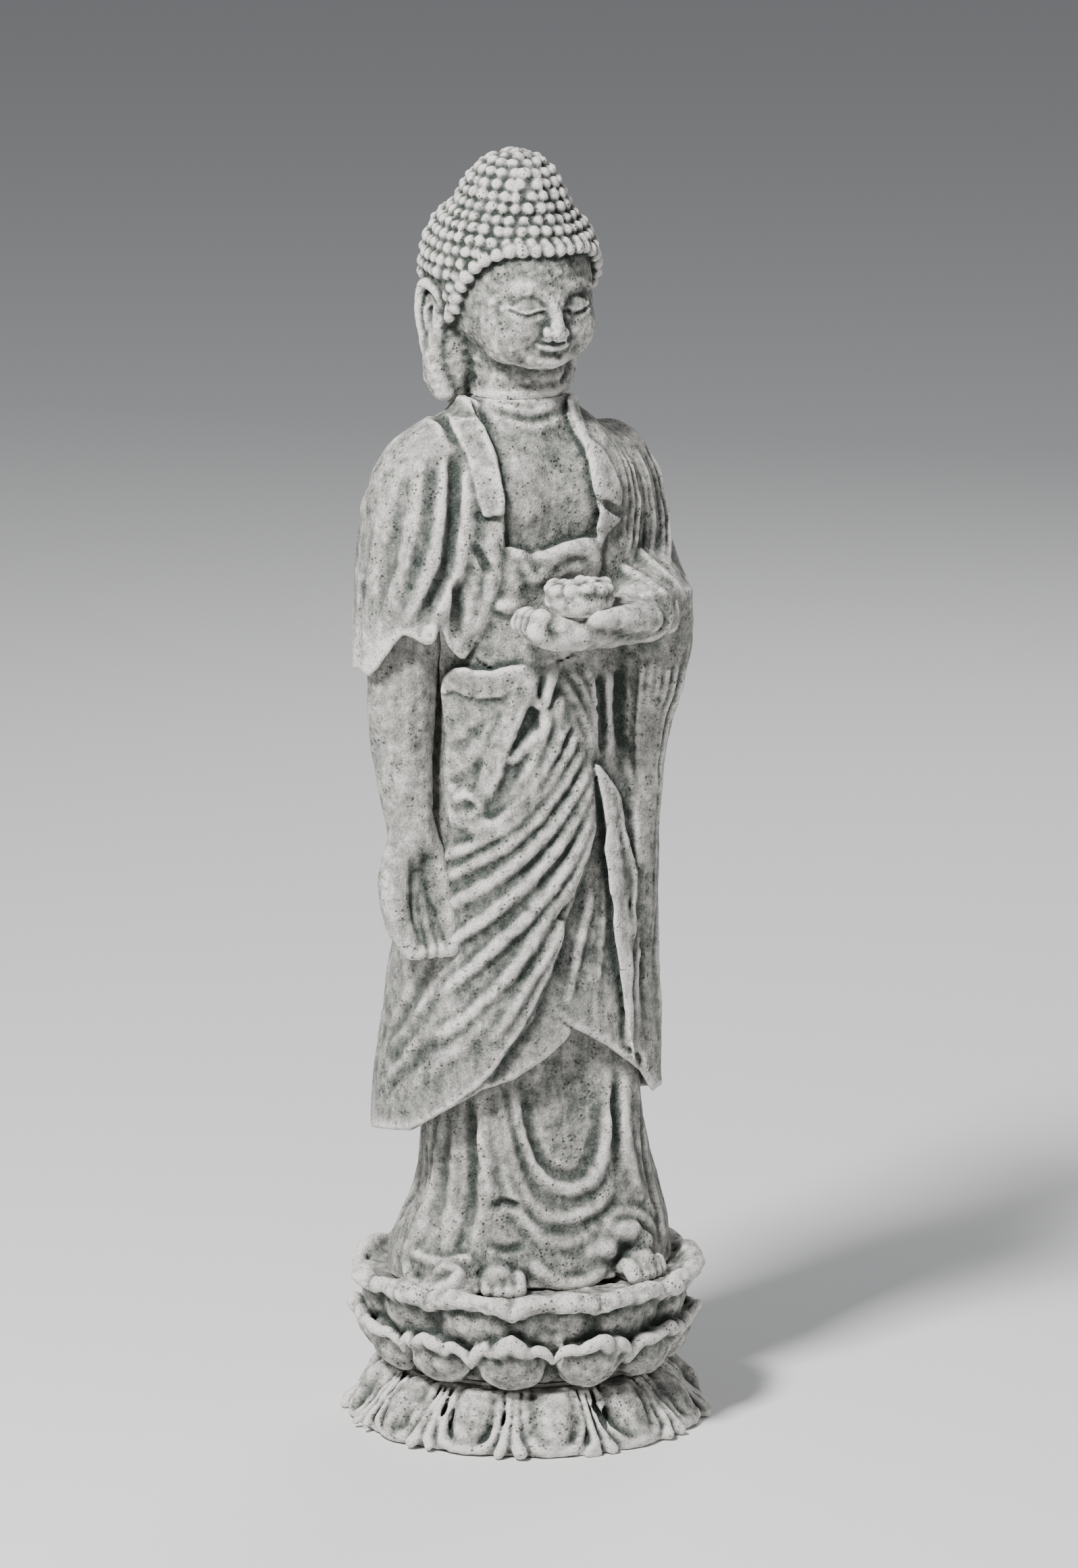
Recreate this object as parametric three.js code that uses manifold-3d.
// A standing Buddha garden figure in cast stone on a double lotus pedestal.
// Units are millimetres, +Z is up, the figure faces -Y, and the origin is the centre of the flat underside.
//
// The figure is cast in sections. Each section is pinned to the next by steel rods
// and bedded in mortar, so every rod runs in a channel that opens at a joint.
import * as THREE from "three";
import { mergeVertices } from "three/addons/utils/BufferGeometryUtils.js";
import Module from "manifold-3d";

const wasm = await Module();
wasm.setup();

// ---- Driving dimensions -------------------------------------------------------------------

const HEIGHT = 520; // ground to the top of the hair
const PEDESTAL_RADIUS = 73;
const WAIST_Z = 24; // joint between the two lotus tiers
const DECK_Z = 61; // top of the pedestal, where the figure stands
const RIM_Z = 64.5; // edge of the upper petals, round the deck
const SPIGOT_Z = 192; // top of the under-robe, inside the outer robe
const NECK_Z = 421; // joint between the robe and the neck
const CHIN_Z = 438;
const NECK_AT = [-3, 0]; // middle of the neck
const HEAD_SHIFT = [-5, 4, 0]; // of the skull from the spine's axis
const HEAD_TURN = 4; // degrees, towards the left shoulder
const CLOTH = 2.5; // how far the outer robe stands proud of the chest
const HAND_Z = 337; // middle of the raised left hand
const SLEEVE_Z = 306; // lowest edge of the right sleeve
const GAP = 0.35; // clearance between touching pieces
const BED = 1.3; // thickness of a mortar bed
const PETALS = 12;
const SIDES = 24; // sides of a lofted body section
const LIMB_SIDES = 12;
const FINGER_SIDES = 6;

const SPINE_RADIUS = 4;
const PIN_RADIUS = 3;
const WIRE_RADIUS = 2.25;
const PEG_RADIUS = 1.5;

const COLOURS = {
  stone: { color: 0xb5b2a9, roughness: 0.92, metalness: 0 },
  steel: { color: 0x8b8d90, roughness: 0.45, metalness: 1 },
  mortar: { color: 0x9a978e, roughness: 0.95, metalness: 0 },
};

// ---- Solids -------------------------------------------------------------------------------

// A closed geometry as a solid that can be cut and joined.
function solid(geometry) {
  const bare = geometry.index ? geometry.toNonIndexed() : geometry.clone();
  for (const name of Object.keys(bare.attributes)) {
    if (name !== "position") bare.deleteAttribute(name);
  }
  const merged = mergeVertices(bare, 1e-4);
  return new wasm.Manifold(
    new wasm.Mesh({
      numProp: 3,
      vertProperties: new Float32Array(merged.attributes.position.array),
      triVerts: new Uint32Array(merged.index.array),
    }),
  );
}

function geometryOf(body) {
  const mesh = body.getMesh();
  const geometry = new THREE.BufferGeometry();
  geometry.setAttribute("position", new THREE.BufferAttribute(mesh.vertProperties, 3));
  geometry.setIndex(new THREE.BufferAttribute(mesh.triVerts, 1));
  geometry.computeVertexNormals();
  return geometry;
}

const joined = (bodies) => bodies.reduce((whole, next) => whole.add(next));
const cutBy = (body, tools) => tools.reduce((rest, tool) => rest.subtract(tool), body);

// A skin over rings that all have the same number of points, closed by a fan at each end.
function loft(rings) {
  const count = rings[0].length;
  const points = rings.flat();
  const faces = [];
  for (let i = 0; i + 1 < rings.length; i++) {
    for (let j = 0; j < count; j++) {
      const a = i * count + j;
      const b = i * count + ((j + 1) % count);
      faces.push(a, b, b + count, a, b + count, a + count);
    }
  }
  for (const [ring, first, flip] of [
    [rings[0], 0, true],
    [rings.at(-1), (rings.length - 1) * count, false],
  ]) {
    const middle = points.length;
    points.push(ring.reduce((sum, p) => sum.add(p), new THREE.Vector3()).divideScalar(count));
    for (let j = 0; j < count; j++) {
      const a = first + j;
      const b = first + ((j + 1) % count);
      faces.push(...(flip ? [middle, b, a] : [middle, a, b]));
    }
  }
  return solid(new THREE.BufferGeometry().setFromPoints(points).setIndex(faces));
}

// A level oval ring; squareness above 2 fills out its corners.
function oval({ z, x = 0, y = 0, width, depth, squareness = 2.3 }, grow = 0) {
  const curve = (v) => Math.sign(v) * Math.abs(v) ** (2 / squareness);
  return Array.from({ length: SIDES }, (_, i) => {
    const angle = (i / SIDES) * 2 * Math.PI;
    return new THREE.Vector3(
      x + (width + grow) * curve(Math.cos(angle)),
      y + (depth + grow) * curve(Math.sin(angle)),
      z,
    );
  });
}

const stack = (sections, grow = 0) => loft(sections.map((s) => oval(s, grow)));

// A round limb through [x, y, z, radius] stations, with blunt rounded ends.
function limb(stations, sides = LIMB_SIDES, steps = 2 * stations.length - 2) {
  const curve = new THREE.CatmullRomCurve3(stations.map(([x, y, z]) => new THREE.Vector3(x, y, z)));
  const frames = curve.computeFrenetFrames(steps);
  const radiusAt = (t) => {
    const at = Math.min(t * (stations.length - 1), stations.length - 1 - 1e-9);
    const i = Math.floor(at);
    return THREE.MathUtils.lerp(stations[i][3], stations[i + 1][3], at - i);
  };
  const ring = (centre, i, radius) =>
    Array.from({ length: sides }, (_, k) => {
      const angle = (k / sides) * 2 * Math.PI;
      return centre
        .clone()
        .addScaledVector(frames.normals[i], radius * Math.cos(angle))
        .addScaledVector(frames.binormals[i], radius * Math.sin(angle));
    });
  const rings = [];
  for (let i = 0; i <= steps; i++) rings.push(ring(curve.getPoint(i / steps), i, radiusAt(i / steps)));
  const blunt = (i, way, radius) =>
    ring(curve.getPoint(i / steps).addScaledVector(frames.tangents[i], (way * radius) / 2), i, radius * 0.7);
  return loft([blunt(0, -1, radiusAt(0)), ...rings, blunt(steps, 1, radiusAt(1))]);
}

function ellipsoid([x, y, z], [rx, ry, rz], { across = 16, down = 10 } = {}) {
  const geometry = new THREE.SphereGeometry(1, across, down)
    .rotateX(Math.PI / 2)
    .scale(rx, ry, rz)
    .translate(x, y, z);
  return solid(geometry);
}

// A straight round bar between two points.
function bar(from, to, radius, sides = LIMB_SIDES) {
  const a = new THREE.Vector3(...from);
  const b = new THREE.Vector3(...to);
  const geometry = new THREE.CylinderGeometry(radius, radius, a.distanceTo(b), sides)
    .applyQuaternion(
      new THREE.Quaternion().setFromUnitVectors(new THREE.Vector3(0, 1, 0), b.clone().sub(a).normalize()),
    )
    .translate(...a.clone().add(b).divideScalar(2).toArray());
  return solid(geometry);
}

// A bar bent through several points.
function bentBar(points, radius, sides = 8) {
  const section = new THREE.Shape().absarc(0, 0, radius, 0, 2 * Math.PI);
  const stations = points.map((p) => new THREE.Vector3(...p));
  const path = new THREE.CatmullRomCurve3(stations, false, "catmullrom", 0.2);
  return solid(
    new THREE.ExtrudeGeometry(section, { steps: 10, curveSegments: sides / 2, extrudePath: path }),
  );
}

function lathe(profile, sides = 3 * PETALS) {
  const outline = profile.map(([r, z]) => new THREE.Vector2(r, z));
  return solid(new THREE.LatheGeometry(outline, sides).rotateX(Math.PI / 2));
}

// One lobe of the lotus, an ellipsoid that leans out from the axis by a tilt in degrees.
function petalRing({ radius, z, size, tilt, offset }) {
  return Array.from({ length: PETALS }, (_, i) => {
    const angle = ((i + offset) / PETALS) * 2 * Math.PI;
    const petal = new THREE.SphereGeometry(1, 8, 5)
      .scale(...size)
      .rotateY(THREE.MathUtils.degToRad(tilt))
      .translate(radius, 0, z)
      .rotateZ(angle - Math.PI / 2);
    return solid(petal);
  });
}

// Everything on one side of a level plane.
function slab(low, high) {
  const side = 4 * PEDESTAL_RADIUS;
  return solid(new THREE.BoxGeometry(side, side, high - low).translate(0, 0, (low + high) / 2));
}

// ---- Rods and their channels --------------------------------------------------------------

const pinRing = [0, 1, 2].map((i) => {
  const angle = (i / 3) * 2 * Math.PI + Math.PI / 2;
  return [38 * Math.cos(angle), 38 * Math.sin(angle)];
});

const rods = {
  spine_rod: (r = SPINE_RADIUS) => bar([0, 4, 8 - (r - SPINE_RADIUS)], [0, 4, 388 + (r - SPINE_RADIUS)], r),
  neck_dowel: (r = PIN_RADIUS) => {
    const spare = r - PIN_RADIUS;
    return bar([...NECK_AT, 396 - spare], [...NECK_AT, 456 + spare], r);
  },
  right_arm_rod: (r = WIRE_RADIUS) => bar([-53.5, -10, 246], [-47, 0, 366 + (r - WIRE_RADIUS)], r),
  left_arm_rod: (r = WIRE_RADIUS) => {
    const route = [[42, 2, 384], [52, 0, 344], [43, -30, HAND_Z + 2], [8, -52, HAND_Z - 3]];
    const bent = bentBar(route, r);
    const spare = r - WIRE_RADIUS; // a channel runs on a little past each end of its rod
    if (!spare) return bent;
    const reach = r + spare;
    const stub = (place) => ellipsoid(place, [reach, reach, reach], { across: 12, down: 8 });
    return joined([bent, stub(route[0]), stub(route.at(-1))]);
  },
  bowl_pin: (r = PEG_RADIUS) => bar([-3, -57, HAND_Z + 2], [-3, -57, HAND_Z + 13 + (r - PEG_RADIUS)], r, 8),
};
for (const [side, x] of [["right", -20], ["left", 24]]) {
  rods[`${side}_leg_rod`] = (r = PIN_RADIUS) =>
    bar([x, 0, 36 - (r - PIN_RADIUS)], [x, 0, 154 + (r - PIN_RADIUS)], r);
}
pinRing.forEach(([x, y], i) => {
  rods[`pedestal_pin_${i + 1}`] = (r = PIN_RADIUS) =>
    bar([x, y, 11 - (r - PIN_RADIUS)], [x, y, 40 + (r - PIN_RADIUS)], r, 10);
});
const OWN_RADIUS = {
  spine_rod: SPINE_RADIUS,
  right_arm_rod: WIRE_RADIUS,
  left_arm_rod: WIRE_RADIUS,
  bowl_pin: PEG_RADIUS,
};

// The channel that a rod runs in.
const channel = (name) => rods[name]((OWN_RADIUS[name] ?? PIN_RADIUS) + GAP);
const channels = (...names) => names.map(channel);
const pedestalPins = pinRing.map((_, i) => `pedestal_pin_${i + 1}`);

// ---- Pedestal -----------------------------------------------------------------------------

function lotusFoot() {
  const top = WAIST_Z - BED / 2 - GAP;
  const core = lathe([
    [0, 0], [70, 0], [72, 1.5], [72, 4.5], [66, 8], [59, 15], [54, 20], [52, top], [0, top],
  ]);
  const petals = petalRing({ radius: 59, z: 9, size: [16, 13, 6.5], tilt: 38, offset: 0.5 });
  const whole = joined([core, ...petals]).intersect(slab(0, top));
  return cutBy(whole, channels("spine_rod", ...pedestalPins));
}

function lotusBowl() {
  const bottom = WAIST_Z + BED / 2 + GAP;
  const core = lathe([
    [0, bottom], [51, bottom], [56, 31], [61, 40], [64, 50], [67, 60], [66.5, RIM_Z - 1], [65, RIM_Z],
    [61, DECK_Z], [0, DECK_Z],
  ]);
  const outer = petalRing({ radius: 62, z: 38, size: [15, 15, 6], tilt: -50, offset: 0 });
  const inner = petalRing({ radius: 64.5, z: 51, size: [14, 15, 4.5], tilt: -70, offset: 0.5 });
  const whole = joined([core, ...outer, ...inner])
    .intersect(lathe([[0, bottom], [PEDESTAL_RADIUS, bottom], [PEDESTAL_RADIUS, RIM_Z], [0, RIM_Z]]))
    .subtract(lathe([[0, DECK_Z], [60.5, DECK_Z], [64.5, RIM_Z + 0.5], [0, RIM_Z + 0.5]]));
  return cutBy(whole, channels("spine_rod", "right_leg_rod", "left_leg_rod", ...pedestalPins));
}

// ---- Under-robe and feet ------------------------------------------------------------------

const FIGURE_FLOOR = DECK_Z + BED + 2 * GAP; // underside of the figure, on its mortar bed

const underRobeSections = [
  { z: FIGURE_FLOOR, x: 1, y: 3, width: 58, depth: 38 },
  { z: 76, x: 1, y: 3, width: 54, depth: 36 },
  { z: 92, x: 2, y: 2, width: 47, depth: 33 },
  { z: 118, x: 2, y: 2, width: 45, depth: 31 },
  { z: SPIGOT_Z, x: 1, y: 2, width: 41, depth: 28 },
];

// A bare foot whose toes point to -Y, turned about its heel by an angle in degrees.
function foot(x, turn) {
  const parts = [ellipsoid([x, -22, FIGURE_FLOOR + 1], [11, 18, 9], { across: 12, down: 8 })];
  for (let i = 0; i < 5; i++) {
    const reach = 36 - Math.abs(i - 1.5) * 1.2;
    const tip = [x + (i - 2) * 4.2, -reach, FIGURE_FLOOR + 1.8];
    parts.push(ellipsoid(tip, [2.6, 6, 2.8], { across: 8, down: 5 }));
  }
  return joined(parts)
    .intersect(slab(FIGURE_FLOOR, SPIGOT_Z))
    .translate([-x, 20, 0])
    .rotate([0, 0, turn])
    .translate([x, -20, 0]);
}

function underRobe() {
  const whole = joined([stack(underRobeSections), foot(-26, 4), foot(31, -6)]);
  return cutBy(whole, channels("spine_rod", "right_leg_rod", "left_leg_rod"));
}

// ---- Outer robe ---------------------------------------------------------------------------

const NECK_FLAT = NECK_Z - BED / 2 - GAP; // top of the robed body, under the neck's mortar bed

const robeSections = [
  { z: 116, x: -1, y: 2, width: 59, depth: 42 },
  { z: 140, x: -1, y: 2, width: 58, depth: 41 },
  { z: 172, x: -1, y: 2, width: 54, depth: 39 },
  { z: 205, x: 0, y: 2, width: 50, depth: 37 },
  { z: 245, x: 1, y: 1, width: 47, depth: 36 },
  { z: 285, x: 1, y: 1, width: 45, depth: 36 },
  { z: 325, x: 0, y: 1, width: 48, depth: 36 },
  { z: 360, x: 0, y: 1, width: 51, depth: 35 },
  { z: 385, x: 0, y: 1, width: 49, depth: 31 },
  { z: 400, x: 0, y: 1, width: 42, depth: 26 },
  { z: 411, x: 0, y: 0, width: 30, depth: 22 },
  { z: NECK_FLAT, x: NECK_AT[0], y: NECK_AT[1], width: 18, depth: 17, squareness: 2 },
];

const sleeveSections = [
  { z: SLEEVE_Z, x: -51, y: -2, width: 20.5, depth: 25 },
  { z: 330, x: -50.5, y: -1, width: 21, depth: 26 },
  { z: 362, x: -48.5, y: 0, width: 21.5, depth: 25 },
  { z: 386, x: -43, y: 0, width: 21, depth: 22 },
  { z: 402, x: -35, y: 0, width: 19, depth: 17 },
  { z: 412, x: -28, y: 0, width: 12, depth: 10 },
];

const hangingSleeveSections = [
  { z: 131, x: 40, y: -10, width: 12.5, depth: 18 },
  { z: 180, x: 38, y: -10, width: 12.5, depth: 18 },
  { z: 240, x: 38, y: -10, width: 13, depth: 19 },
  { z: 285, x: 40, y: -10, width: 14, depth: 20 },
  { z: 318, x: 45, y: -12, width: 18, depth: 22 },
  { z: HAND_Z, x: 46, y: -12, width: 18.5, depth: 22 },
];

const leftArmStations = [
  [38, 2, 388, 17], [46, 0, 364, 17], [51, -6, 343, 17],
  [44, -28, HAND_Z + 3, 15], [32, -43, HAND_Z + 1, 13],
];

// The space under the raised front hem, which climbs from the right corner to a peak in front.
const HEM_OUTLINE = [
  [-80, 100], [-60, 118], [-45, 122], [-27, 146], [-10, 163], [-3, 176],
  [10, 166], [38, 136], [80, 131], [80, 100],
];

// The opening of the robe over the bare chest, between the two lapels.
const LAPEL_OUTLINE = [
  [-24, 430], [-22, 392], [-17, 372], [-22, 350], [-12, 343],
  [20, 343], [24, 356], [22, 383], [13, 405], [10, 430],
];

// A block with an outline in X and Z that runs forward from a depth in Y.
function frontBlock(outline, back) {
  const shape = new THREE.Shape(outline.map(([x, z]) => new THREE.Vector2(x, z)));
  const block = new THREE.ExtrudeGeometry(shape, { depth: 2 * PEDESTAL_RADIUS, bevelEnabled: false })
    .rotateX(Math.PI / 2)
    .translate(0, back, 0);
  return solid(block);
}

const ARM_CLEARANCE = 0.5; // round an arm where it enters its sleeve

// The lowered right arm, from inside the sleeve to the curled fingertips.
function rightArm(grow = 0) {
  const wider = ([x, y, z, r]) => [x, y, z, r + grow];
  const arm = [
    [-47, 0, 338, 12.5], [-51, -1, 318, 13], [-53.5, -4, 290, 13],
    [-54, -8, 262, 11.5], [-53, -13, 240, 9.5],
  ];
  const thumb = [[-62, -14, 235, 5.5], [-64, -18, 217, 5], [-61, -21, 204, 4]];
  const finger = (i) => {
    const x = -59 + 5 * i;
    return [[x, -16, 217, 3.8], [x + 0.5, -19, 206, 3.6], [x + 0.5, -23, 202, 3.2]];
  };
  return joined([
    limb(arm.map(wider)),
    ellipsoid([-53, -15, 226], [12 + grow, 8 + grow, 17 + grow], { across: 12, down: 8 }),
    limb(thumb.map(wider), FINGER_SIDES),
    ...[0, 1, 2, 3].map((i) => limb(finger(i).map(wider), FINGER_SIDES)),
  ]);
}

// The raised left hand, from inside the cuff to the fingertips that curl up round the bowl.
function leftPalm(grow = 0) {
  const wider = ([x, y, z, r]) => [x, y, z, r + grow];
  const wrist = [[40, -38, HAND_Z, 10.5], [26, -46, HAND_Z - 1, 10.5], [16, -50, HAND_Z - 3, 9.5]];
  const thumb = [[22, -58, HAND_Z + 0.5, 5.5], [12, -64, HAND_Z + 1, 5], [2, -67, HAND_Z + 1, 4.4]];
  const finger = (i) => {
    const y = -62 + 5.8 * i;
    return [[-8, y, HAND_Z - 5, 4], [-20, y + 1, HAND_Z - 3, 4], [-24, y + 1.5, HAND_Z + 3, 3.6]];
  };
  return joined([
    limb(wrist.map(wider)),
    ellipsoid([0, -54, HAND_Z - 4], [20 + grow, 13 + grow, 7.5 + grow], { across: 14, down: 8 }),
    limb(thumb.map(wider), FINGER_SIDES),
    ...[0, 1, 2, 3].map((i) => limb(finger(i).map(wider), FINGER_SIDES)),
  ]);
}

// The pocket under the robe that takes the top of the under-robe.
function spigotPocket() {
  const [floor, , ...upper] = underRobeSections;
  const roof = { ...upper.pop(), z: SPIGOT_Z + BED + 2 * GAP };
  const mouth = { ...floor, z: DECK_Z, width: 46, depth: 32 };
  return stack([mouth, ...upper, roof], 1.2);
}

function robedBody() {
  const bare = robeSections.map((s) => ({ ...s, width: s.width - CLOTH, depth: s.depth - CLOTH }));
  const chest = stack([...bare.slice(0, -1), robeSections.at(-1)]);
  const robe = stack(robeSections).subtract(frontBlock(LAPEL_OUTLINE, -10));
  const sash = limb([[-20, -32, 352, 4], [-2, -36, 357, 5], [18, -34, 355, 4]], 8);
  const tie = limb([[-12, -36, 352, 4.5], [-16, -36, 318, 4.5], [-24, -36, 280, 4]], 8);
  const shoulder = ellipsoid([34, 1, 388], [22, 24, 22]);
  const sleeves = [stack(sleeveSections), stack(hangingSleeveSections), limb(leftArmStations)];
  const whole = joined([chest, robe, sash, tie, shoulder, ...sleeves]);
  return cutBy(whole.intersect(slab(0, NECK_FLAT)), [
    frontBlock(HEM_OUTLINE, -8),
    spigotPocket(),
    rightArm(ARM_CLEARANCE),
    leftPalm(ARM_CLEARANCE),
    ...channels("spine_rod", "neck_dowel", "right_arm_rod", "left_arm_rod"),
  ]);
}

// ---- Hands and bowl -----------------------------------------------------------------------

const BOWL_AT = [-3, -57];
const BOWL_SEAT_Z = HAND_Z + 1.8; // the flat in the palm where the bowl is bedded

const rightForearm = () => cutBy(rightArm(), channels("right_arm_rod"));

function leftHand() {
  const seat = lathe([[0, 0], [10, 0], [12, 20], [0, 20]], SIDES).translate([...BOWL_AT, BOWL_SEAT_Z]);
  return cutBy(leftPalm(), [seat, ...channels("left_arm_rod", "bowl_pin")]);
}

function almsBowl() {
  const profile = [
    [0, 0], [7, 0], [12, 3.5], [13.5, 8], [12.5, 12], [12, 14.5], [10, 14.5], [9.5, 12.5], [0, 14],
  ];
  const bowl = lathe(profile, SIDES).translate([...BOWL_AT, BOWL_SEAT_Z + BED + 2 * GAP]);
  return cutBy(bowl, channels("bowl_pin"));
}

// ---- Head ---------------------------------------------------------------------------------

const EAR_OUTLINE = [
  [-4, 461], [2, 466], [8, 463], [8, 451], [5, 442], [5.5, 430], [2, 423.5], [-3, 425.5], [-3, 441], [-5, 450],
];

// A long ear in the plane of X, on the side of the head that a sign gives.
function ear(side) {
  const outline = new THREE.Shape(EAR_OUTLINE.map(([y, z]) => new THREE.Vector2(y, z)));
  const thickness = 6;
  const plate = new THREE.ExtrudeGeometry(outline, { depth: thickness, bevelEnabled: false })
    .rotateX(Math.PI / 2)
    .rotateZ(Math.PI / 2)
    .translate(side > 0 ? 27 : -27 - thickness, 0, 0);
  return solid(plate);
}

function head() {
  const bottom = NECK_Z + BED / 2 + GAP;
  const [x, y] = NECK_AT;
  const neck = stack([
    { z: bottom, x, y, width: 19, depth: 18, squareness: 2 },
    { z: 428, x, y, width: 18.5, depth: 17, squareness: 2 },
    { z: 450, x, y, width: 18.5, depth: 18, squareness: 2 },
  ]);
  const skull = ellipsoid([0, 2, 473], [31, 34, 33], { across: 20, down: 14 });
  const face = ellipsoid([0, -8, CHIN_Z + 24], [27, 29, 25], { across: 20, down: 12 });
  const brow = solid(new THREE.BoxGeometry(90, 60, 40).rotateX(-0.25).translate(0, -46, 461));
  const hair = ellipsoid([0, 4, 478], [35, 37, 26], { across: 20, down: 12 }).subtract(brow);
  const ushnisha = ellipsoid([0, 4, HEIGHT - 20], [20, 21, 20]);
  const nose = limb([[0, -34.5, 467, 2.4], [0, -37.5, 460, 2.8], [0, -38.5, 456, 3.4]], FINGER_SIDES);
  const skullParts = joined([skull, face, hair, ushnisha, nose, ear(1), ear(-1)]);
  const whole = neck.add(skullParts.rotate([0, 0, HEAD_TURN]).translate(HEAD_SHIFT));
  return cutBy(whole.intersect(slab(bottom, HEIGHT)), channels("neck_dowel"));
}

// ---- Mortar beds --------------------------------------------------------------------------

const disc = (radius, z, x = 0, y = 0) => bar([x, y, z], [x, y, z + BED], radius, SIDES);

// A bed with the outline of a section, set in a little from its edge.
const ovalSheet = (section, z) => stack([{ ...section, z }, { ...section, z: z + BED }], -2);

const beds = {
  pedestal_bed: () => cutBy(disc(50, WAIST_Z - BED / 2), channels("spine_rod", ...pedestalPins)),
  figure_bed: () => {
    const sheet = ovalSheet(underRobeSections[0], DECK_Z + GAP);
    return cutBy(sheet, channels("spine_rod", "right_leg_rod", "left_leg_rod"));
  },
  robe_bed: () => cutBy(ovalSheet(underRobeSections.at(-1), SPIGOT_Z + GAP), channels("spine_rod")),
  neck_bed: () => cutBy(disc(15, NECK_Z - BED / 2, ...NECK_AT), channels("neck_dowel")),
  bowl_bed: () => cutBy(disc(8, BOWL_SEAT_Z + GAP, ...BOWL_AT), channels("bowl_pin")),
};

// ---- Assembly -----------------------------------------------------------------------------

const statue = new THREE.Group();
statue.name = "standing_buddha";

function place(name, body, look) {
  const mesh = new THREE.Mesh(geometryOf(body), new THREE.MeshStandardMaterial(COLOURS[look]));
  mesh.name = name;
  statue.add(mesh);
}

place("lotus_foot", lotusFoot(), "stone");
place("lotus_bowl", lotusBowl(), "stone");
place("under_robe", underRobe(), "stone");
place("robed_body", robedBody(), "stone");
place("right_forearm", rightForearm(), "stone");
place("left_hand", leftHand(), "stone");
place("alms_bowl", almsBowl(), "stone");
place("head", head(), "stone");
for (const [name, make] of Object.entries(rods)) place(name, make(), "steel");
for (const [name, make] of Object.entries(beds)) place(name, make(), "mortar");

export default statue;
